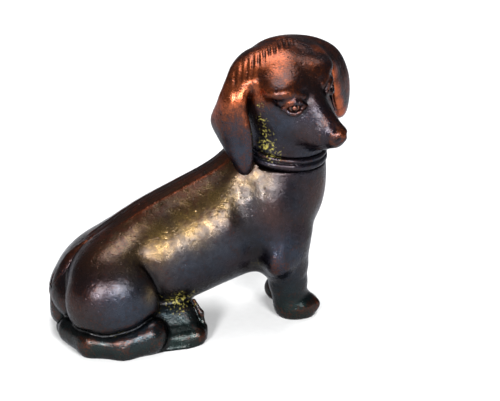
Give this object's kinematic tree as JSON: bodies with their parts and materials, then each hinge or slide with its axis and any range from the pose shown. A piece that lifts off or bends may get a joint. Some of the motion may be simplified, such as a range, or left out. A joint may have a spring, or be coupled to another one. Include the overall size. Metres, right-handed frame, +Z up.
{
  "type": "paperweight",
  "caption": "Paperweight in the form of a sitting long-eared dog with its head turned to its right, a collar round its neck and a felt under the seat.",
  "frame": {"origin": "under the middle of the figure's bounding box, on the surface it stands on", "axes": "+X the way the body faces, +Y the dog's left, +Z up"},
  "size_m": [0.063, 0.0338, 0.0579],
  "materials": {
    "patinated_bronze": "dark brown patina, rubbed to copper on the high places",
    "eye_copper": "dark bead with a rubbed middle",
    "plain_steel": "plain turned steel",
    "ballast_iron": "as cast",
    "plate_brass": "rolled sheet",
    "screw_brass": "turned",
    "felt": "pressed wool felt"
  },
  "bodies": {
    "root": {"body_right_shell": "patinated_bronze", "body_left_shell": "patinated_bronze", "head_casting": "patinated_bronze", "right_ear": "patinated_bronze", "left_ear": "patinated_bronze", "tail": "patinated_bronze", "collar": "patinated_bronze", "right_eye": "eye_copper", "left_eye": "eye_copper", "neck_stud": "plain_steel", "neck_washer": "plain_steel", "neck_nut": "plain_steel", "ballast_slug": "ballast_iron", "base_plate": "plate_brass", "base_screws": "screw_brass", "seat_felt": "felt"}
  },
  "joints": []
}
